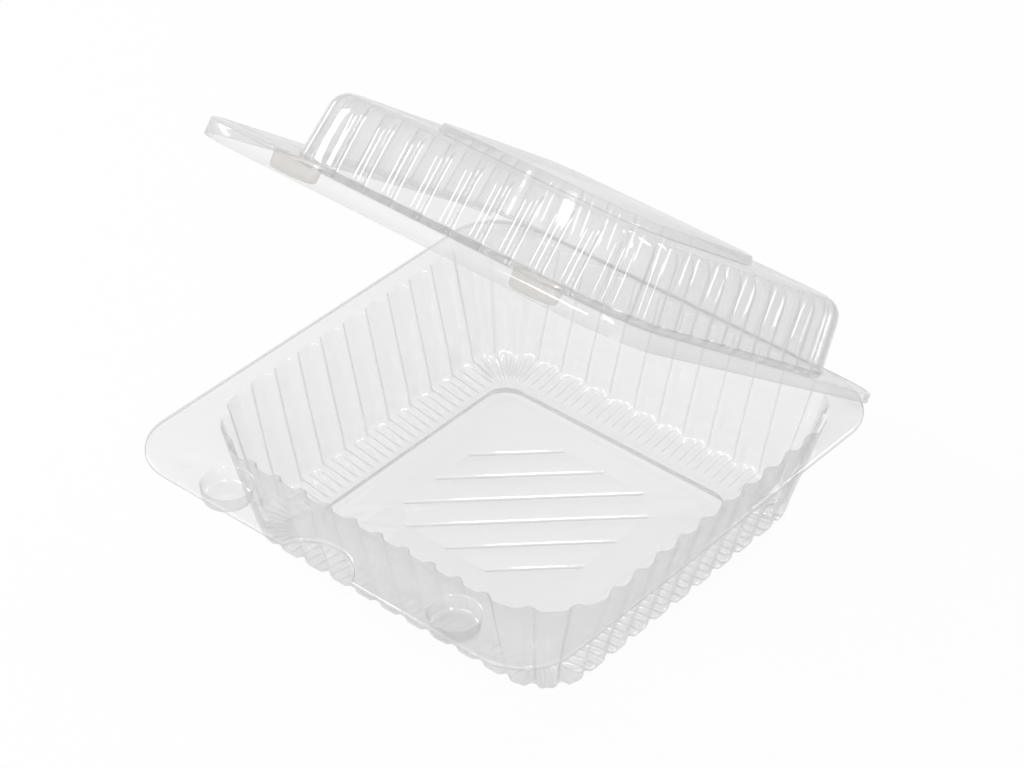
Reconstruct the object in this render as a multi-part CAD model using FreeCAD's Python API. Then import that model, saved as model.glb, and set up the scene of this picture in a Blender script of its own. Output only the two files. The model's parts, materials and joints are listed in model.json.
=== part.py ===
import FreeCAD, Part
import math
import os

# Hinged clear clamshell pack, formed from one sheet: a fluted tray, a crease
# along the rear edge and a domed lid. Millimetres, +Z up, front towards -Y.
# The tray and the lid are both drawn closed, the lid is swung open, and the
# origin is then set on the table under the middle of the open pack.

# The sheet and the fits between the two halves
sheet = 0.3
flange_gap = 0.3
crease_clearance = 0.3
skirt_clearance = 0.7
snap_clearance = 0.4
socket_floor_gap = 0.4

# The tray's opening, measured from the pack's middle
tray_height = 55.0
opening_half_width = 95.5
opening_front = 101.5
opening_rear = 95.5
opening_corner = 36.0

# The flange round the opening
side_flange = 9.5
front_flange = 27.3
rear_flange = 4.0
flange_corner = 25.0
lip_depth = 1.8

# The tray's wall, from the opening down to the flat of its foot: each step
# goes further in, to a height of its own above the table
wall_draft = 11.8
bend_height = 10.0
bend_step = 2.2
foot_height = 3.4
foot_step = 3.6
foot_round_height = 1.1
foot_flat_step = 6.4

# The flutes of the tray, and how much of their depth the foot keeps
tray_flute_count_across = 9
tray_flute_count_along = 9
tray_flute_count_corner = 3
tray_flute_depth = 2.4
bend_flute_share = 0.9
foot_flute_share = 0.6
groove_share = 0.22
flank_share = 0.13

# The raised floor panel, inside the foot, and its six slanting grooves
panel_side_margin = 10.0
panel_front_margin = 15.75
panel_rear_margin = 13.25
panel_corner = 10.0
panel_rise = 4.1
panel_slope = 2.0
rib_pitch = 15.0
rib_step_in = 14.8
rib_longest = 97.8
rib_width = 1.7
rib_depth = 0.8
rib_pairs = 3

# The front flange: snap sockets, dimples and the finger notch
snap_spacing = 116.0
snap_edge_margin = 2.0
peg_radius = 10.0
peg_depth = 6.6
peg_draft = 0.6
dimple_offset = 21.0
dimple_radius = 4.5
dimple_depth = 1.2
dimple_draft = 1.2
notch_radius = 18.4
notch_reach = 12.4

# The lid's dome, inside the flange, and its wall, shoulder and flat top
dome_side_margin = 19.0
dome_front_margin = 32.3
dome_rear_margin = 6.0
dome_corner = 28.5
dome_wall_height = 21.5
dome_wall_draft = 2.6
shoulder_rise = 4.7
shoulder_step = 2.2
plateau_rise = 2.3
plateau_step = 4.7
lid_flute_count_across = 8
lid_flute_count_along = 10
lid_flute_count_corner = 3
lid_flute_depth = 2.2
shoulder_flute_share = 0.7
top_panel_half = 52.0
top_panel_corner = 14.0
top_panel_rise = 3.5
top_panel_slope = 1.6

# The skirt that hangs from the lid's edge, and how far the lid stands open
skirt_front_depth = 6.8
skirt_rear_depth = 3.5
skirt_start_angle = 60.0
open_angle = 36.7

# How far a cutting shape runs past what it cuts, how flat a flat face is, and a corner's turn
past = 5.0
flatness = 0.00001
quarter_turn = 90

# Places worked out from the sizes above
opening_centre_y = (opening_rear - opening_front) / 2
opening_half_length = (opening_rear + opening_front) / 2
flange_half_width = opening_half_width + side_flange
flange_front = opening_front + front_flange
hinge_y = opening_rear + rear_flange
hinge_z = tray_height + flange_gap / 2
rear_edge = hinge_y - crease_clearance
foot_flat_inset = wall_draft + bend_step + foot_step + foot_flat_step
panel_front = opening_front - foot_flat_inset - panel_front_margin
panel_rear = opening_rear - foot_flat_inset - panel_rear_margin
panel_centre_y = (panel_rear - panel_front) / 2
panel_half_length = (panel_rear + panel_front) / 2
panel_half_width = opening_half_width - foot_flat_inset - panel_side_margin
socket_radius = peg_radius + snap_clearance
socket_depth = peg_depth + socket_floor_gap
snap_y = snap_edge_margin + socket_radius - flange_front
lid_flange_base = tray_height + flange_gap
skirt_outer = skirt_clearance + sheet
lid_half_width = flange_half_width + skirt_outer
lid_front = flange_front + skirt_outer
lid_corner = flange_corner + skirt_outer
dome_front = flange_front - dome_front_margin
dome_rear = hinge_y - dome_rear_margin
dome_centre_y = (dome_rear - dome_front) / 2
dome_half_length = (dome_rear + dome_front) / 2
dome_half_width = flange_half_width - dome_side_margin
dome_height = dome_wall_height + shoulder_rise + plateau_rise
flat = FreeCAD.Vector(0, 0, 1)


def vec(x, y, z):
    return FreeCAD.Vector(x, y, z)


# Outlines. A ring is a rounded rectangle drawn at a distance inside its own
# nominal size; its corners keep their centres, as on a drafted mould.
class Ring:
    def __init__(self, half_width, half_length, centre_y, corner):
        self.half_width = half_width
        self.half_length = half_length
        self.centre_y = centre_y
        self.corner = corner

    def wire(self, inset, z):
        """The plain rounded outline, as lines and arcs."""
        w = self.half_width - inset
        l = self.half_length - inset
        r = self.corner - inset
        return rounded_wire(-w, w, self.centre_y - l, self.centre_y + l, r, r, z)

    def fluted(self, inset, z, depth, across, along, in_corner):
        """The outline as lobes with a groove between each pair, depth deep."""
        w = self.half_width
        l = self.half_length
        r = self.corner
        points = []
        for quarter in range(4):
            turn = quarter * math.pi / 2
            out = vec(math.cos(turn), math.sin(turn), 0)
            run = vec(-math.sin(turn), math.cos(turn), 0)
            reach = (w, l)[quarter % 2]
            half = (l, w)[quarter % 2] - r
            count = (along, across)[quarter % 2]
            for k in range(count):
                for share, sunk in flute_cell(depth):
                    slide = (k + share) / count * 2 * half - half
                    points.append(out * (reach - inset - sunk) + run * slide)
            hub = out * (reach - r) + run * half
            for k in range(in_corner):
                for share, sunk in flute_cell(depth):
                    angle = turn + (k + share) / in_corner * math.pi / 2
                    ray = vec(math.cos(angle), math.sin(angle), 0)
                    points.append(hub + ray * (r - inset - sunk))
        return [p + vec(0, self.centre_y, z) for p in points]


def flute_cell(depth):
    """One flute as (place along it, how far it is sunk)."""
    edge = groove_share / 2
    lobe = edge + flank_share
    return ((edge, depth), (lobe, 0), (1 - lobe, 0), (1 - edge, depth))


def rounded_wire(x0, x1, y0, y1, r_low, r_high, z):
    """A rectangle with rounded corners: r_low at y0 and r_high at y1."""
    corners = ((x1, y1, r_high), (x0, y1, r_high), (x0, y0, r_low), (x1, y0, r_low))
    arcs = []
    for k, (x, y, r) in enumerate(corners):
        hub = vec(x - math.copysign(r, x - (x0 + x1) / 2), y - math.copysign(r, y - (y0 + y1) / 2), z)
        arcs.append(arc(hub, r, k * quarter_turn, (k + 1) * quarter_turn))
    edges = []
    for k, one in enumerate(arcs):
        edges.append(one)
        follow = arcs[(k + 1) % 4]
        edges.append(Part.makeLine(one.Vertexes[-1].Point, follow.Vertexes[0].Point))
    return Part.Wire(edges)


def arc(hub, radius, start, end):
    """A level arc, angles in degrees counter-clockwise from +X."""
    spots = []
    for degrees in (start, (start + end) / 2, end):
        a = math.radians(degrees)
        spots.append(hub + vec(math.cos(a), math.sin(a), 0) * radius)
    return Part.Arc(*spots).toShape()


def polygon(points):
    return Part.makePolygon(points + points[:1])


def band(lower, upper):
    """The faces between two rings of points with as many points each."""
    faces = []
    count = len(lower)
    for k in range(count):
        n = (k + 1) % count
        faces += cell(lower[k], lower[n], upper[n], upper[k])
    return faces


def cell(a, b, c, d):
    """One flat face on four corners, or two where they don't lie in one plane."""
    normal = (c - a).cross(d - b)
    if abs(normal.dot(b - a)) < flatness * normal.Length:
        return [Part.Face(polygon([a, b, c, d]))]
    return [Part.Face(polygon([a, b, c])), Part.Face(polygon([a, c, d]))]


def collar(lower, upper):
    """The faces between two level wires with as many edges each: flat between
    straight edges, and turned about their common axis between arcs."""
    faces = []
    for a, b in zip(lower.Edges, upper.Edges):
        starts = [edge.valueAt(edge.FirstParameter) for edge in (a, b)]
        if isinstance(a.Curve, Part.Circle):
            angle = math.degrees(a.LastParameter - a.FirstParameter)
            faces.append(Part.makeLine(*starts).revolve(a.Curve.Center, a.Curve.Axis, angle))
        else:
            ends = [edge.valueAt(edge.LastParameter) for edge in (b, a)]
            faces.append(Part.Face(polygon(starts + ends)))
    return faces


def inward(profile):
    """The profile of the sheet's other side, a thickness away from this one.
    A profile is a list of (inset, height); it starts and ends on a level."""
    start = (profile[0][0] - sheet, profile[0][1])
    end = (profile[-1][0] + sheet, profile[-1][1])
    spots = [start] + profile + [end]
    moved = []
    for before, here, after in zip(spots, spots[1:], spots[2:]):
        first = underside(before, here)
        second = underside(here, after)
        scale = sheet / (1 + first[0] * second[0] + first[1] * second[1])
        shift = ((first[0] + second[0]) * scale, (first[1] + second[1]) * scale)
        moved.append((here[0] + shift[0], here[1] + shift[1]))
    return moved


def underside(a, b):
    """The unit normal on the sheet's lower side, for a run inwards from a to b."""
    dx = b[0] - a[0]
    dz = b[1] - a[1]
    length = math.hypot(dx, dz)
    return (dz / length, -dx / length)


def step_inset(slope, rise):
    """How much smaller a step is on the sheet's lower side, where it is as thick as the sheet."""
    return sheet * (math.hypot(slope, rise) - slope) / rise


def slot(centre, direction, length, width):
    """A slot's outline: two straight sides and two half-round ends."""
    side = vec(-direction.y, direction.x, 0) * (width / 2)
    tip = direction * (width / 2)
    a = centre - direction * (length / 2)
    b = centre + direction * (length / 2)
    first = Part.makeLine(a - side, b - side)
    end = Part.Arc(b - side, b + tip, b + side).toShape()
    second = Part.makeLine(b + side, a + side)
    start = Part.Arc(a + side, a - tip, a - side).toShape()
    return Part.Wire([first, end, second, start])


def lowered(wire, drop):
    copy = wire.copy()
    copy.translate(flat * -drop)
    return copy


def level_face(wires):
    """A level face inside the first wire, with the other wires as its holes."""
    return Part.makeFace(wires, "Part::FaceMakerBullseye")


def solid_of(faces):
    """One closed solid sewn from its faces."""
    shell = Part.makeShell(faces)
    shell.sewShape()
    made = Part.makeSolid(shell)
    if made.Volume < 0:
        made.reverse()
    return made


def disc_plug(x, y, radius, low_radius, top, depth):
    """A round plug that hangs down from a level, a little smaller at its foot."""
    return Part.makeCone(low_radius, radius, depth, vec(x, y, top - depth))


# The tray
opening = Ring(opening_half_width, opening_half_length, opening_centre_y, opening_corner)
panel = Ring(panel_half_width, panel_half_length, panel_centre_y, panel_corner)


def tray_skin(profile, depths):
    """The fluted wall of one side of the sheet, with its first and last outlines."""
    rings = []
    for (inset, z), depth in zip(profile, depths):
        ring = opening.fluted(inset, z, depth, tray_flute_count_across, tray_flute_count_along,
                              tray_flute_count_corner)
        rings.append(ring)
    faces = []
    for upper, lower in zip(rings, rings[1:]):
        faces += band(lower, upper)
    return faces, polygon(rings[0]), polygon(rings[-1])


def rib_wires(width, z):
    """The six grooves: a diamond of slots across one diagonal of the panel."""
    along = vec(1, 1, 0).normalize()
    across = vec(-1, 1, 0).normalize()
    middle = vec(0, panel_centre_y, z)
    wires = []
    for k in range(rib_pairs):
        length = rib_longest - 2 * rib_step_in * k
        for way in (-1, 1):
            offset = across * (way * (k + 0.5) * rib_pitch)
            wires.append(slot(middle + offset, along, length, width))
    return wires


def floor_faces(edge_wire, z, ring_shift, rib_size):
    """The level floor, the step up to the panel, and the panel with its grooves."""
    slope = panel_slope
    low = panel.wire(-slope + ring_shift, z)
    high = panel.wire(ring_shift, z + panel_rise)
    faces = [level_face([edge_wire, low])]
    faces += collar(low, high)
    tops = rib_wires(rib_size, z + panel_rise)
    faces.append(level_face([high] + tops))
    for top in tops:
        bottom = lowered(top, rib_depth)
        faces += collar(bottom, top)
        faces.append(Part.Face(bottom))
    return faces


def flange_outline(inset, z):
    """The flange's outline; its rear edge stays at the crease."""
    w = flange_half_width - inset
    return rounded_wire(-w, w, inset - flange_front, rear_edge, flange_corner - inset,
                        flange_corner - inset, z)


def make_tray():
    foot_inset = wall_draft + bend_step
    upper = [(0, tray_height), (wall_draft, bend_height), (foot_inset, foot_height + sheet),
             (foot_inset + foot_step, foot_round_height + sheet), (foot_flat_inset, sheet)]
    full = tray_flute_depth
    depths = [full, full, full * bend_flute_share, full * foot_flute_share, 0]
    inside, opening_wire, foot_wire = tray_skin(upper, depths)
    outside, opening_low, foot_low = tray_skin(inward(upper), depths)
    faces = inside + outside
    faces += floor_faces(foot_wire, sheet, 0, rib_width)
    faces += floor_faces(foot_low, 0, step_inset(panel_slope, panel_rise), rib_width + 2 * sheet)
    rim_high = flange_outline(0, tray_height)
    rim_low = flange_outline(0, tray_height - sheet)
    faces.append(level_face([rim_high, opening_wire]))
    faces.append(level_face([rim_low, opening_low]))
    faces += collar(rim_low, rim_high)
    body = solid_of(faces)
    under = tray_height - sheet
    adds = [lip()]
    cuts = [finger_notch()]
    for side in (-1, 1):
        x = side * snap_spacing / 2
        adds.append(disc_plug(x, snap_y, socket_radius + sheet, socket_radius + sheet - peg_draft,
                              under + sheet / 2, socket_depth + sheet / 2))
        cuts.append(disc_plug(x, snap_y, socket_radius, socket_radius - peg_draft,
                              tray_height, socket_depth))
        for way in (-1, 1):
            place = x + way * dimple_offset
            low_radius = dimple_radius - dimple_draft
            adds.append(disc_plug(place, snap_y, dimple_radius + sheet, low_radius + sheet,
                                  under + sheet / 2, dimple_depth + sheet / 2))
            cuts.append(disc_plug(place, snap_y, dimple_radius, low_radius, tray_height, dimple_depth))
    return body.fuse(adds).cut(cuts)


def lip():
    """The flange's turned-down edge, round the front and sides only."""
    outer = Part.Face(flange_outline(0, tray_height - lip_depth))
    inner = Part.Face(flange_outline(sheet, tray_height - lip_depth))
    ring = outer.extrude(flat * (lip_depth - sheet / 2)).cut(inner.extrude(flat * lip_depth))
    reach = flange_half_width + past
    rear = Part.makeBox(2 * reach, flange_corner + past, lip_depth + past,
                        vec(-reach, rear_edge - flange_corner, tray_height - lip_depth))
    return ring.cut(rear)


def finger_notch():
    """A shallow round bite out of the middle of the front edge."""
    hub_y = notch_reach - flange_front - notch_radius
    return Part.makeCylinder(notch_radius, 2 * past, vec(0, hub_y, tray_height - past))


# The lid, drawn closed
dome = Ring(dome_half_width, dome_half_length, dome_centre_y, dome_corner)
top_panel = Ring(top_panel_half, top_panel_half, dome_centre_y, top_panel_corner)


def dome_skin(profile, depths):
    rings = []
    for (inset, z), depth in zip(profile, depths):
        ring = dome.fluted(inset, z, depth, lid_flute_count_across, lid_flute_count_along,
                           lid_flute_count_corner)
        rings.append(ring)
    faces = []
    for lower, upper in zip(rings, rings[1:]):
        faces += band(lower, upper)
    return faces, polygon(rings[0]), polygon(rings[-1])


def dome_top(edge_wire, z, shift):
    """The level plateau, the step up to the top panel, and the panel."""
    low = top_panel.wire(-top_panel_slope + shift, z)
    high = top_panel.wire(shift, z + top_panel_rise)
    return [level_face([edge_wire, low])] + collar(low, high) + [Part.Face(high)]


def lid_outline(inset, z):
    w = lid_half_width - inset
    return rounded_wire(-w, w, inset - lid_front, rear_edge, lid_corner - inset, lid_corner - inset, z)


def make_lid():
    base = lid_flange_base
    top = base + sheet
    shoulder_inset = dome_wall_draft + shoulder_step
    heights = [(0, top), (dome_wall_draft, base + dome_wall_height),
               (shoulder_inset, base + dome_wall_height + shoulder_rise),
               (shoulder_inset + plateau_step, base + dome_height)]
    full = lid_flute_depth
    depths = [full, full, full * shoulder_flute_share, 0]
    outside, foot_wire, plateau_wire = dome_skin(heights, depths)
    inside, foot_low, plateau_low = dome_skin(inward(heights), depths)
    faces = outside + inside
    faces += dome_top(plateau_wire, base + dome_height, 0)
    step = step_inset(top_panel_slope, top_panel_rise)
    faces += dome_top(plateau_low, base + dome_height - sheet, step)
    rim_high = lid_outline(0, top)
    rim_low = lid_outline(0, base)
    faces.append(level_face([rim_high, foot_wire]))
    faces.append(level_face([rim_low, foot_low]))
    faces += collar(rim_low, rim_high)
    body = solid_of(faces)
    adds = [skirt()]
    cuts = []
    for side in (-1, 1):
        x = side * snap_spacing / 2
        adds.append(disc_plug(x, snap_y, peg_radius, peg_radius - peg_draft,
                              base + sheet / 2, peg_depth + sheet / 2))
        cuts.append(disc_plug(x, snap_y, peg_radius - sheet, peg_radius - sheet - peg_draft,
                              top, peg_depth))
    return body.fuse(adds).cut(cuts)


def skirt():
    """The edge that hangs round the tray's flange, deeper at the front. It
    stops part of the way round the rear corners, clear of the crease."""
    level = lid_flange_base
    outer = Part.Face(lid_outline(0, level - skirt_front_depth))
    inner = Part.Face(lid_outline(sheet, level - skirt_front_depth))
    ring = outer.extrude(flat * (skirt_front_depth + sheet / 2))
    ring = ring.cut(inner.extrude(flat * (skirt_front_depth + sheet)))
    hub_y = rear_edge - lid_corner
    start_y = hub_y + lid_corner * math.cos(math.radians(skirt_start_angle))
    front_y = lid_corner - lid_front
    reach = lid_half_width + past
    low = level - skirt_front_depth
    shallow = level - skirt_rear_depth
    high = level + sheet
    behind = hinge_y + past
    under = low - past
    side = [vec(-reach, front_y, low), vec(-reach, hub_y, shallow), vec(-reach, start_y, shallow),
            vec(-reach, start_y, high), vec(-reach, behind, high),
            vec(-reach, behind, under), vec(-reach, -lid_front - past, under),
            vec(-reach, -lid_front - past, low)]
    trim = Part.Face(polygon(side)).extrude(vec(2 * reach, 0, 0))
    return ring.cut(trim)


def swing_open(shape):
    """Turns the closed lid up about the crease."""
    opened = shape.copy()
    opened.rotate(vec(0, hinge_y, hinge_z), vec(-1, 0, 0), open_angle)
    return opened


def save(shape, name):
    solids = shape.Solids
    print(name, "solids", len(solids), "valid", shape.isValid(), "volume", round(shape.Volume, 1))
    solids[0].exportStep("parts/" + name + ".step")


os.makedirs("parts", exist_ok=True)
tray = make_tray()
lid = swing_open(make_lid())
middle = Part.makeCompound([tray, lid]).optimalBoundingBox().Center
for shape, name in ((tray, "tray"), (lid, "lid")):
    shape.translate(vec(0, -middle.y, 0))
    save(shape, name)
print("hinge axis at y", hinge_y - middle.y, "z", hinge_z)
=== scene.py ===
import json
import math

import bmesh
import bpy
from mathutils import Euler, Matrix, Vector


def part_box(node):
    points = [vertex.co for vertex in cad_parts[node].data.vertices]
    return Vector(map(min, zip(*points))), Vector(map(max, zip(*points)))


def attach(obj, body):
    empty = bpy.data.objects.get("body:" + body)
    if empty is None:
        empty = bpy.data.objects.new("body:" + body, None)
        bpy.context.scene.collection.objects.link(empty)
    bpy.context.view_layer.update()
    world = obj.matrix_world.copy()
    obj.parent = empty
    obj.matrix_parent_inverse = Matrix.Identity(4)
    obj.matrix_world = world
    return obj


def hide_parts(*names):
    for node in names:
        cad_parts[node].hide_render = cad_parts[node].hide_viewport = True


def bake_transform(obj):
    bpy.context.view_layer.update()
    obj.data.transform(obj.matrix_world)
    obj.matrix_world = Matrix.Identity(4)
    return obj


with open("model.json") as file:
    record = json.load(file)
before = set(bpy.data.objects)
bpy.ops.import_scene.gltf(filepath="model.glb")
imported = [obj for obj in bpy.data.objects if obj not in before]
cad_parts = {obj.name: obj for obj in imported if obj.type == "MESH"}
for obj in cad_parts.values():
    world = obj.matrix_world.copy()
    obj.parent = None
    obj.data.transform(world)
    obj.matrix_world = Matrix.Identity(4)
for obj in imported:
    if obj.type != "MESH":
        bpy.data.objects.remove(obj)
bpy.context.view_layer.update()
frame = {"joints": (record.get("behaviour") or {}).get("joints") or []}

scene = bpy.context.scene
MM = 0.001

# The tray. The pack is one sheet of clear, stiff plastic film, heated and drawn
# into a mould. Its lower half is a square tray with a fluted wall, drawn in
# towards the foot, from where fine ribs run in over the floor.
sheet = 0.3 * MM
hinge = Vector(frame["joints"][0]["pos_m"])
tray_low, tray_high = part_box("tray")
flange_half = tray_high.x
flange_front = tray_low.y
flange_rear = tray_high.y
flange_top = tray_high.z
opening_half = flange_half - 9.5 * MM
opening_front = flange_front + 27.3 * MM
opening_rear = hinge.y - 4 * MM
opening_corner = 36 * MM
tray_flutes_on_side = 9
tray_flute_depth = 2.4 * MM
flutes_in_corner = 3
flute_bulge = 0.25 * MM
flute_steps = 24
flute_shares = [k / flute_steps for k in range(flute_steps)]
groove_half = 0.03
flank_end = 0.27
ribs_in_flute = 3
up = Vector((0, 0, 1))


def groove_at(share):
    """How deep the groove is at this place along a flute, from 0 to 1."""
    near = min(share, 1 - share)
    t = min(1, max(0, (near - groove_half) / (flank_end - groove_half)))
    return 1 - t * t * (3 - 2 * t)


def rib_at(share):
    """The height of the fine ribs at this place along a flute, from 0 to 1."""
    return 0.5 - 0.5 * math.cos(ribs_in_flute * math.tau * share)


class FlutedRing:
    """A rounded rectangle of flutes, with its corners' centres kept as it shrinks."""

    def __init__(self, half_width, front, rear, corner, across, along, depth):
        self.half_width = half_width
        self.half_length = (rear - front) / 2
        self.middle_y = (rear + front) / 2
        self.corner = corner
        self.counts = (along, across)
        self.depth = depth

    def sunk(self, share, scale):
        """How far the ring lies inside its crowns at this place along a flute."""
        crown = 4 * share * (1 - share)
        return scale * (self.depth * groove_at(share) + flute_bulge * (1 - crown))

    def outline(self, inset, z, scale, rib_height=0, front_pull=0):
        """The ring at one level, with its flutes' depth scaled and its front drawn in by front_pull."""
        points = []
        for quarter in range(4):
            turn = quarter * math.pi / 2
            out = Vector((math.cos(turn), math.sin(turn), 0))
            run = Vector((-math.sin(turn), math.cos(turn), 0))
            reach = (self.half_width, self.half_length)[quarter % 2]
            half = (self.half_length, self.half_width)[quarter % 2] - self.corner
            count = self.counts[quarter % 2]
            for k in range(count):
                for share in flute_shares:
                    slide = (k + share) / count * 2 * half - half
                    rise = up * rib_height * rib_at(share)
                    points.append(out * (reach - inset - self.sunk(share, scale)) + run * slide + rise)
            hub = out * (reach - self.corner) + run * half
            for k in range(flutes_in_corner):
                for share in flute_shares:
                    angle = turn + (k + share) / flutes_in_corner * math.pi / 2
                    ray = Vector((math.cos(angle), math.sin(angle), 0))
                    rise = up * rib_height * rib_at(share)
                    points.append(hub + ray * (self.corner - inset - self.sunk(share, scale)) + rise)
        for p in points:
            p.y += front_pull * max(0, -p.y / self.half_length)
        return [p + Vector((0, self.middle_y, z)) for p in points]


def start_loop(mesh, points):
    verts = [mesh.verts.new(p) for p in points]
    for a, b in zip(verts, verts[1:] + verts[:1]):
        mesh.edges.new((a, b))
    return verts


def loop_edges(mesh, loop, closed=True):
    ends = loop[1:] + loop[:1] if closed else loop[1:]
    return [mesh.edges.get((a, b)) for a, b in zip(loop, ends)]


def draw_out(mesh, loop, points, closed=True):
    """Extrudes a loop of edges and puts the new loop on the points."""
    made = bmesh.ops.extrude_edge_only(mesh, edges=loop_edges(mesh, loop, closed))
    fresh = {v for v in made["geom"] if isinstance(v, bmesh.types.BMVert)}
    moved = []
    for v in loop:
        moved.append(next(e.other_vert(v) for e in v.link_edges if e.other_vert(v) in fresh))
    for v, p in zip(moved, points):
        v.co = p
    return moved


# Each level of the wall: how far in and how high it is in mm, how deep its flutes
# are, and how high its fine ribs stand in mm.
tray_wall = ((-1.1, 55.0, 1, 0), (-0.5, 54.85, 1, 0), (-0.12, 54.45, 1, 0), (0.1, 53.8, 1, 0),
             (3.7, 40, 1, 0), (7.8, 25, 1, 0), (11.4, 11.6, 1, 0), (11.8, 9.8, 1, 0),
             (12.2, 7.6, 1, 0), (12.7, 5.4, 1, 0),
             (13.3, 3.6, 1, 0.2), (14.3, 2.3, 1, 1.0), (15.9, 1.5, 0.96, 2.1), (18.0, 1.0, 0.86, 2.4),
             (20.4, 0.7, 0.68, 2.1), (22.8, 0.5, 0.42, 1.7), (25.4, 0.4, 0.14, 1.2), (27.6, 0.36, 0, 0.6),
             (28.8, 0.36, 0, 0))
foot_from = 25 * MM
foot_pull = 2.6 * MM
tray = bmesh.new()
tray_ring = FlutedRing(opening_half, opening_front, opening_rear, opening_corner, tray_flutes_on_side,
                       tray_flutes_on_side, tray_flute_depth)
inset, z, scale, rib_height = tray_wall[0]
opening_loop = start_loop(tray, tray_ring.outline(inset * MM, z * MM, scale))
loop = opening_loop
for inset, z, scale, rib_height in tray_wall[1:]:
    pull = foot_pull * max(0, 1 - z * MM / foot_from) ** 2
    loop = draw_out(tray, loop, tray_ring.outline(inset * MM, z * MM, scale, rib_height * MM, pull))
foot_loop = loop

# The tray's floor. A square panel is raised in it, and six slanting grooves are
# pressed in the panel to stiffen it. The pack stands on the ring round the panel.
panel_half = opening_half - 34 * MM
panel_front = opening_front + 39.75 * MM
panel_rear = opening_rear - 37.25 * MM
panel_corner = 10 * MM
panel_step = ((2.4, 0.36), (1.95, 0.45), (1.6, 0.8), (0.45, 3.8), (0.1, 4.25), (-0.4, 4.4), (-3.4, 4.4),
              (-3.8, 4.32), (-4.3, 4.02), (-4.8, 3.94))
panel_level = panel_step[-1][1] * MM
panel_middle = Vector((0, (panel_front + panel_rear) / 2, 0))
groove_width = 1.7 * MM
groove_pitch = 15 * MM
groove_longest_half = 48.9 * MM
groove_shortening = 14.8 * MM
groove_profile = ((0.25, 0), (0.05, -0.08), (-0.1, -0.3), (-0.25, -0.62), (-0.5, -0.78))
groove_along = Vector((1, 1, 0)).normalized()
groove_side = Vector((-1, 1, 0)).normalized()


def rounded_outline(half_width, front, rear, corner, z, steps=14):
    """A rounded rectangle, anticlockwise from the middle of its right side."""
    hubs = ((half_width - corner, rear - corner, 0),
            (corner - half_width, rear - corner, 90),
            (corner - half_width, front + corner, 180),
            (half_width - corner, front + corner, 270))
    points = []
    for x, y, start in hubs:
        for k in range(steps + 1):
            angle = math.radians(start + 90 * k / steps)
            points.append(Vector((x + corner * math.cos(angle), y + corner * math.sin(angle), z)))
    return points


def panel_outline(out, z):
    return rounded_outline(panel_half + out, panel_front - out, panel_rear + out, panel_corner + out, z)


def fill_flat(mesh, loops):
    """Fills the level area inside the first loop and outside the others."""
    edges = [e for loop in loops for e in loop_edges(mesh, loop)]
    bmesh.ops.triangle_fill(mesh, use_beauty=True, use_dissolve=False, edges=edges, normal=(0, 0, 1))


def groove_outline(middle, half_length, half_width, z, steps=8):
    """A slot with half-round ends, along the panel's diagonal."""
    points = []
    for way in (1, -1):
        for k in range(steps + 1):
            angle = math.pi * (k / steps - 0.5)
            spot = middle + groove_along * way * (half_length + half_width * math.cos(angle))
            points.append(spot + groove_side * way * half_width * math.sin(angle) + Vector((0, 0, z)))
    return points


loop = start_loop(tray, panel_outline(panel_step[0][0] * MM, panel_step[0][1] * MM))
fill_flat(tray, [foot_loop, loop])
for out, z in panel_step[1:]:
    loop = draw_out(tray, loop, panel_outline(out * MM, z * MM))
panel_loop = loop

groove_rims = []
for k in range(3):
    for way in (-1, 1):
        middle = panel_middle + groove_side * way * (k + 0.5) * groove_pitch
        half = groove_longest_half - k * groove_shortening
        out = groove_profile[0][0] * MM
        loop = start_loop(tray, groove_outline(middle, half, groove_width / 2 + out, panel_level))
        groove_rims.append(loop)
        for out, rise in groove_profile[1:]:
            level = panel_level + rise * MM
            loop = draw_out(tray, loop, groove_outline(middle, half, groove_width / 2 + out * MM, level))
        tray.faces.new(loop)
fill_flat(tray, [panel_loop] + groove_rims)

# The tray's flange. It is wide at the front, where it holds two sockets for the
# lid's pegs, four small dimples and a finger notch. Its edge turns down.
snap_x = 58 * MM
snap_y = flange_front + 12.4 * MM
socket = ((11.0, 0), (10.6, 0.12), (10.4, 0.5), (9.95, 5.6), (9.6, 6.5), (8.8, 6.95), (7.9, 7.0))
dimple = ((5.2, 0), (4.5, 0.08), (3.7, 0.3), (2.8, 0.5), (1.9, 0.6), (1.0, 0.62))
dimple_offset = 21 * MM
flange_corner = 25 * MM
edge_turn = ((0.7, 0), (0.3, 0.08), (0.06, 0.3), (0, 0.7), (0, 1.8))
notch_radius = 18.4 * MM
notch_depth = 12.4 * MM
notch_hub_y = flange_front + notch_depth - notch_radius
notch_steps = 24


def circle(x, y, radius, z, steps=40):
    angles = [k * math.tau / steps for k in range(steps)]
    return [Vector((x + radius * math.cos(angle), y + radius * math.sin(angle), z)) for angle in angles]


def press_down(mesh, x, y, profile, level):
    """A round hollow pressed down from a level; its profile is radii and depths in mm."""
    radius, depth = profile[0]
    rim = start_loop(mesh, circle(x, y, radius * MM, level - depth * MM))
    loop = rim
    for radius, depth in profile[1:]:
        loop = draw_out(mesh, loop, circle(x, y, radius * MM, level - depth * MM))
    mesh.faces.new(loop)
    return rim


def corners_of(outline):
    """The arcs of a rounded outline: rear right, rear left, front left and front right."""
    quarter = len(outline) // 4
    return [outline[k * quarter:(k + 1) * quarter] for k in range(4)]


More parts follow.
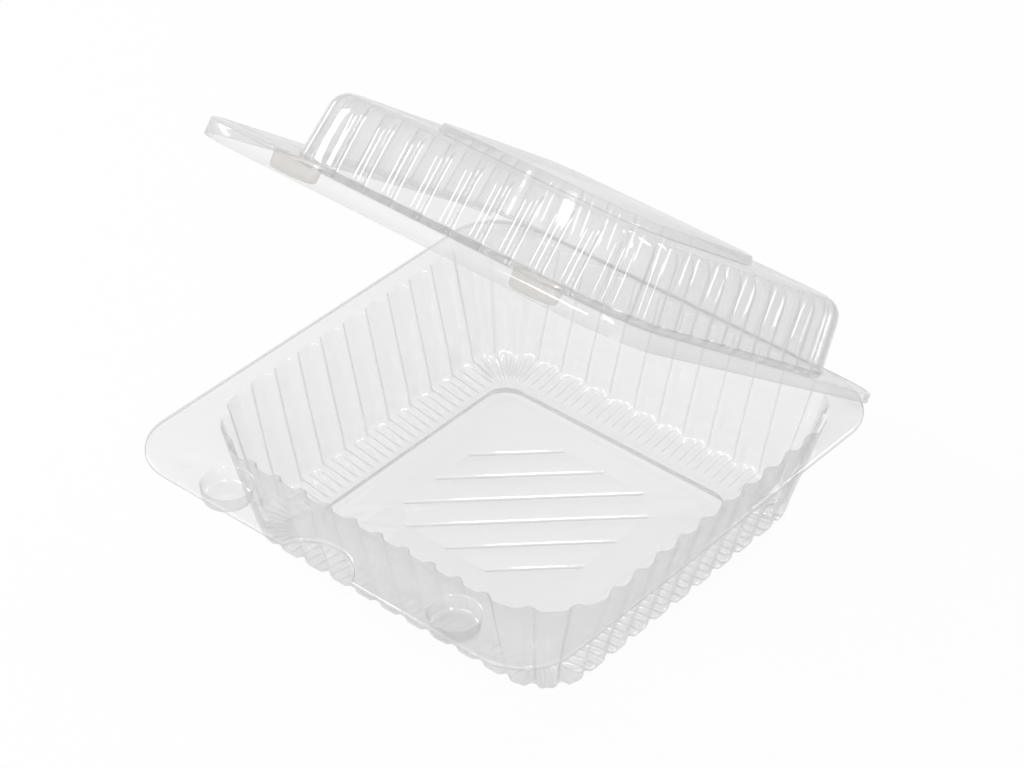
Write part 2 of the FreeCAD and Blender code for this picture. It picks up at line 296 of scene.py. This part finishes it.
def flange_outline(inset, z):
    """The flange's edge with the notch, from the left end of the rear edge round to its right end."""
    outline = rounded_outline(flange_half - inset, flange_front + inset, flange_rear,
                              flange_corner - inset, z)
    rear_right, rear_left, front_left, front_right = corners_of(outline)
    radius = notch_radius + inset
    half_angle = math.acos((flange_front + inset - notch_hub_y) / radius)
    notch = []
    for k in range(notch_steps + 1):
        angle = half_angle * (1 - 2 * k / notch_steps)
        notch.append(Vector((-radius * math.sin(angle), notch_hub_y + radius * math.cos(angle), z)))
    return rear_left + front_left + notch + front_right + rear_right


rims = []
for side in (-1, 1):
    rims.append(press_down(tray, side * snap_x, snap_y, socket, flange_top))
    for way in (-1, 1):
        rims.append(press_down(tray, side * snap_x + way * dimple_offset, snap_y, dimple, flange_top))
loop = start_loop(tray, flange_outline(edge_turn[0][0] * MM, flange_top))
fill_flat(tray, [loop, opening_loop] + rims)
for inset, drop in edge_turn[1:]:
    loop = draw_out(tray, loop, flange_outline(inset * MM, flange_top - drop * MM), closed=False)

# The tray's film. It is glossy on both sides and nearly colourless. Edge on, its
# body turns denser and greyer: partly for the longer path through the film, and
# partly as a painted shade for the darker reflections there. Its cut edge is
# painted darkest, a painted shade for the dark line along a clear sheet's edge.
film_tint = (0.985, 0.985, 0.985, 1)
film_pale = 0.76
# The body's grey where the film is seen edge on is a painted shade.
edge_on_shade_grey = 0.24
film_roughness = 0.12
tray_density = 0.16
# The cut edge's dark grey is a painted shade for the dark line along the sheet's edge.
cut_edge_shade_grey = 0.22
cut_edge_shade_density = 0.8
cut_edge_roughness = 0.3
body_edge_on = 0.66
body_power = 3.7
gloss_white = (1, 1, 1, 1)
gloss_roughness = 0.07
gloss_face_on = 0.05
gloss_edge_on = 0.45
gloss_power = 4.0


class Maths:
    """A shader socket that builds its own maths nodes."""

    def __init__(self, tree, socket):
        self.tree = tree
        self.socket = socket

    @staticmethod
    def node(tree, kind, settings=(), **sockets):
        """A node of this kind; a socket is named, or given as s and its number."""
        made = tree.nodes.new(kind)
        for name, value in dict(settings).items():
            setattr(made, name, value)
        for name, value in sockets.items():
            Maths.feed(tree, made.inputs[int(name[1:]) if name[1:].isdigit() else name], value)
        return made

    @staticmethod
    def feed(tree, socket, value):
        if isinstance(value, Maths):
            value = value.socket
        if isinstance(value, bpy.types.NodeSocket):
            tree.links.new(value, socket)
        else:
            socket.default_value = value

    def join(self, operation, other):
        made = Maths.node(self.tree, "ShaderNodeMath", {"operation": operation}, s0=self, s1=other)
        return Maths(self.tree, made.outputs[0])

    def __add__(self, other):
        return self.join("ADD", other)

    __radd__ = __add__

    def __mul__(self, other):
        return self.join("MULTIPLY", other)

    __rmul__ = __mul__

    def __pow__(self, other):
        return self.join("POWER", other)

    def most(self, other):
        return self.join("MAXIMUM", other)


def clear_film(name, pale, warmth, face_on, roughness):
    """Film that is see-through face on, with a pale body that darkens edge on, partly for the longer path
    through it and partly as painted shade, under a gloss.
    """
    made = bpy.data.materials.new(name)
    made.use_nodes = True
    tree = made.node_tree
    facing = Maths(tree, Maths.node(tree, "ShaderNodeLayerWeight", Blend=0.5).outputs["Facing"])
    # Edge on, the body darkens and covers more of the clear film: partly the longer path through the film,
    # partly painted shade.
    edge_on = facing ** body_power
    grey = pale + (edge_on_shade_grey - pale) * edge_on
    hue = Maths.node(tree, "ShaderNodeCombineColor",
                     Red=grey, Green=grey * (1 - warmth / 3), Blue=grey * (1 - warmth))
    body = tree.nodes["Principled BSDF"]
    body.inputs["Roughness"].default_value = roughness
    Maths.feed(tree, body.inputs["Base Color"], hue.outputs[0])
    clear = Maths.node(tree, "ShaderNodeBsdfTransparent", Color=film_tint)
    gloss = Maths.node(tree, "ShaderNodeBsdfGlossy", Color=gloss_white, Roughness=gloss_roughness)
    dense = Maths.node(tree, "ShaderNodeMixShader", s0=face_on + (body_edge_on - face_on) * edge_on,
                       s1=clear.outputs[0], s2=body.outputs[0])
    shine = gloss_face_on + (gloss_edge_on - gloss_face_on) * facing ** gloss_power
    whole = Maths.node(tree, "ShaderNodeMixShader", s0=shine, s1=dense.outputs[0], s2=gloss.outputs[0])
    tree.links.new(whole.outputs[0], tree.nodes["Material Output"].inputs["Surface"])
    return made


def finish_sheet(name, mesh, *materials):
    """Makes the object, with the sheet's thickness below its faces; the last material is for its cut edge."""
    bmesh.ops.remove_doubles(mesh, verts=mesh.verts, dist=1e-6)
    bmesh.ops.recalc_face_normals(mesh, faces=mesh.faces)
    for face in mesh.faces:
        face.smooth = True
    data = bpy.data.meshes.new(name)
    mesh.to_mesh(data)
    mesh.free()
    for material in materials:
        data.materials.append(material)
    piece = bpy.data.objects.new(name, data)
    scene.collection.objects.link(piece)
    wall = piece.modifiers.new("sheet", "SOLIDIFY")
    wall.thickness = sheet
    wall.offset = -1
    wall.use_even_offset = True
    wall.material_offset_rim = len(materials) - 1
    return piece


film = clear_film("clear_film", film_pale, 0, tray_density, film_roughness)
# The cut edge is painted dark grey: a painted shade for the dark line that a clear sheet's edge shows.
cut_edge = clear_film("cut_edge", cut_edge_shade_grey, 0, cut_edge_shade_density, cut_edge_roughness)
tray_piece = finish_sheet("tray_sheet", tray, film, cut_edge)
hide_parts("tray")
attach(tray_piece, "tray")

# The lid. It is drawn in the same sheet: a fluted dome with a raised square top,
# in a flat flange whose edge hangs as a skirt. Two hollow, frosted pegs press into
# the tray's sockets. It is shaped shut and then turned open about the crease.
shut_angle = math.radians(frame["joints"][0]["range_deg"][0])
lid_base = flange_top + 0.3 * MM
lid_top = lid_base + sheet
lid_past_tray = 1.0 * MM
lid_half = flange_half + lid_past_tray
lid_front = flange_front - lid_past_tray
lid_corner = flange_corner + lid_past_tray
# The lid's film is denser than the tray's, though both are one sheet: the extra grey is a painted shade for
# the lid's darker look.
lid_density_with_shade = 0.22
dome_half = flange_half - 19 * MM
dome_front = flange_front + 32.3 * MM
dome_rear = hinge.y - 6 * MM
dome_corner = 28.5 * MM
dome_flutes_across = 8
dome_flutes_along = 10
dome_flute_depth = 2.2 * MM
dome_wall = ((-1.3, 0, 1), (-0.6, 0.12, 1), (-0.15, 0.5, 1), (0.05, 1.2, 1), (1.3, 11, 1), (2.6, 21.5, 1),
             (3.0, 23.2, 1), (3.7, 24.7, 0.96), (4.8, 26.1, 0.86), (6.2, 27.3, 0.62), (7.8, 28.1, 0.3),
             (9.5, 28.5, 0))
top_half = 52 * MM
top_corner = 14 * MM
top_step = ((2.0, 28.5), (1.6, 28.62), (1.25, 29.0), (0.35, 31.5), (0, 31.9), (-0.45, 32.0))
peg = ((10.3, 0), (9.85, 0.12), (9.65, 0.5), (9.25, 5.6), (8.9, 6.3), (8.1, 6.58), (7.2, 6.6))
peg_warmth = 0.13
peg_density = 0.36
peg_roughness = 0.5
skirt_front = 6.8 * MM
skirt_rear = 3.5 * MM
skirt_bend = ((0.8, 0), (0.35, 0.1), (0.08, 0.35), (0, 0.8))
skirt_from = 7


def top_outline(out, z):
    half = top_half + out
    return rounded_outline(half, dome_ring.middle_y - half, dome_ring.middle_y + half, top_corner + out, z)


def lid_outline(inset, z):
    """The lid's edge, from the left end of the rear edge round to its right end."""
    outline = rounded_outline(lid_half - inset, lid_front + inset, flange_rear, lid_corner - inset, z)
    rear_right, rear_left, front_left, front_right = corners_of(outline)
    return rear_left + front_left + front_right + rear_right


def skirt_depth(y):
    """The skirt's depth: full at the front corner, less towards the rear one."""
    front_y = lid_front + lid_corner
    rear_y = flange_rear - lid_corner
    share = min(1, max(0, (y - front_y) / (rear_y - front_y)))
    return skirt_front + (skirt_rear - skirt_front) * share


lid = bmesh.new()
dome_ring = FlutedRing(dome_half, dome_front, dome_rear, dome_corner, dome_flutes_across, dome_flutes_along,
                       dome_flute_depth)
dome_loop = start_loop(lid, dome_ring.outline(dome_wall[0][0] * MM, lid_top, 1))
loop = dome_loop
for inset, rise, scale in dome_wall[1:]:
    loop = draw_out(lid, loop, dome_ring.outline(inset * MM, lid_base + rise * MM, scale))
shoulder_loop = loop
loop = start_loop(lid, top_outline(top_step[0][0] * MM, lid_base + top_step[0][1] * MM))
fill_flat(lid, [shoulder_loop, loop])
for out, rise in top_step[1:]:
    loop = draw_out(lid, loop, top_outline(out * MM, lid_base + rise * MM))
fill_flat(lid, [loop])

peg_rims = [press_down(lid, side * snap_x, snap_y, peg, lid_top) for side in (-1, 1)]
for face in lid.faces:
    middle = face.calc_center_median()
    if middle.z < lid_base and middle.y < snap_y + peg[0][0] * MM:
        face.material_index = 1

loop = start_loop(lid, lid_outline(skirt_bend[0][0] * MM, lid_top))
fill_flat(lid, [loop, dome_loop] + peg_rims)
loop = loop[skirt_from:-skirt_from]
for inset, drop in skirt_bend[1:]:
    outline = lid_outline(inset * MM, lid_top - drop * MM)
    loop = draw_out(lid, loop, outline[skirt_from:-skirt_from], closed=False)
outline = [Vector((p.x, p.y, lid_base - skirt_depth(p.y))) for p in lid_outline(0, 0)]
draw_out(lid, loop, outline[skirt_from:-skirt_from], closed=False)
bmesh.ops.rotate(lid, cent=hinge, matrix=Matrix.Rotation(shut_angle, 3, "X"), verts=lid.verts)

# The lid's film is a darker copy of the tray's film: painted shade.
lid_shaded_film = clear_film("lid_shaded_film", film_pale, 0, lid_density_with_shade, film_roughness)
frosted = clear_film("frosted_plug", film_pale, peg_warmth, peg_density, peg_roughness)
lid_piece = finish_sheet("lid_sheet", lid, lid_shaded_film, frosted, cut_edge)
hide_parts("lid")
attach(lid_piece, "lid")

# The crease. The tray and the lid are one sheet, which is thinned to a living
# hinge along the rear edge; this strip of the same film joins the two halves.
crease_half = 80 * MM
crease_grip = 0.5 * MM
crease_bulge = 0.12 * MM
crease_thickness = 0.2 * MM
opened = Matrix.Rotation(shut_angle, 3, "X")
tray_edge = Vector((0, flange_rear - hinge.y, flange_top - sheet / 2 - hinge.z))
lid_edge = opened @ Vector((0, flange_rear - hinge.y, lid_base + sheet / 2 - hinge.z))
into_tray = Vector((0, -crease_grip, 0))
into_lid = opened @ into_tray
route = (tray_edge + into_tray, tray_edge, Vector((0, crease_bulge, 0)), lid_edge, lid_edge + into_lid)
crease = bmesh.new()
ends = [crease.verts.new(hinge + spot + Vector((-crease_half, 0, 0))) for spot in route]
for a, b in zip(ends, ends[1:]):
    crease.edges.new((a, b))
draw_out(crease, ends, [v.co + Vector((2 * crease_half, 0, 0)) for v in ends], closed=False)
crease_piece = finish_sheet("crease_strip", crease, film)
crease_piece.modifiers["sheet"].thickness = crease_thickness
crease_piece.modifiers["sheet"].offset = 0
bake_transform(crease_piece)

# The table and the light. A white table keeps the pack's faint shadow. The world
# is pale and even, and long soft lamps draw the flutes by their reflections.
table_size = 6.0
table_colour = (0.9, 0.9, 0.9, 1)
table_glow = 0.93
world_colour = (1, 1, 1, 1)
world_strength = 0.55
lamp_aim = Vector((0, 0, 0.1))


def seen_as_backdrop(tree):
    """1 for what the camera sees, straight, in a reflection or through the film."""
    path = Maths.node(tree, "ShaderNodeLightPath")
    seen = Maths(tree, path.outputs["Is Camera Ray"])
    seen = seen.most(Maths(tree, path.outputs["Is Glossy Ray"]))
    return seen.most(Maths(tree, path.outputs["Is Transmission Ray"]))


bpy.ops.mesh.primitive_plane_add(size=table_size)
table = bpy.context.object
table.name = "table"
table_material = bpy.data.materials.new("white_table")
table_material.use_nodes = True
tree = table_material.node_tree
tree.nodes.remove(tree.nodes["Principled BSDF"])
matt = Maths.node(tree, "ShaderNodeBsdfDiffuse", Color=table_colour)
glow = Maths.node(tree, "ShaderNodeEmission", Strength=1.0)
blend = Maths.node(tree, "ShaderNodeMixShader", s0=seen_as_backdrop(tree) * table_glow,
                   s1=matt.outputs[0], s2=glow.outputs[0])
tree.links.new(blend.outputs[0], tree.nodes["Material Output"].inputs["Surface"])
table.data.materials.append(table_material)

world = bpy.data.worlds.new("studio")
scene.world = world
world.use_nodes = True
tree = world.node_tree
strength = world_strength + (1 - world_strength) * seen_as_backdrop(tree)
Maths.feed(tree, tree.nodes["Background"].inputs["Strength"], strength)
tree.nodes["Background"].inputs["Color"].default_value = world_colour


def lamp(name, place, width, height, power):
    light = bpy.data.lights.new(name, "AREA")
    light.shape = "RECTANGLE"
    light.size = width
    light.size_y = height
    light.energy = power
    made = bpy.data.objects.new(name, light)
    made.location = place
    made.rotation_euler = (lamp_aim - Vector(place)).to_track_quat("-Z", "Y").to_euler()
    scene.collection.objects.link(made)


lamp("left", (-1.3, -0.35, 0.7), 0.35, 1.0, 9)
lamp("right", (1.1, -0.9, 0.9), 0.25, 1.0, 6)
lamp("front", (-0.15, -1.3, 0.55), 0.9, 0.2, 5)
lamp("back", (0.2, 1.1, 1.1), 0.6, 0.2, 3.5)

# The camera, as it stood for the photograph: a long lens, from the front right
# and above, turned a little about its own axis.
camera_turn = math.radians(38.36)
camera_height = math.radians(36.991)
camera_roll = math.radians(2.092)
camera_distance = 1.419906
camera_lens = 121.72
sensor_width = 36
aim_right = -6.603 * MM
aim_up = 49.688 * MM
aim_from = Vector((0, hinge.y - 99.5 * MM, 4.64 * MM))
turned = Euler((math.pi / 2 - camera_height, 0, camera_turn)).to_matrix()
turned = turned @ Matrix.Rotation(camera_roll, 3, "Z")
lens = bpy.data.cameras.new("camera")
lens.lens = camera_lens
lens.sensor_width = sensor_width
camera = bpy.data.objects.new("camera", lens)
camera.rotation_euler = turned.to_euler()
camera.location = aim_from + turned @ Vector((aim_right, aim_up, camera_distance))
scene.collection.objects.link(camera)
scene.camera = camera
scene.view_settings.view_transform = "Standard"
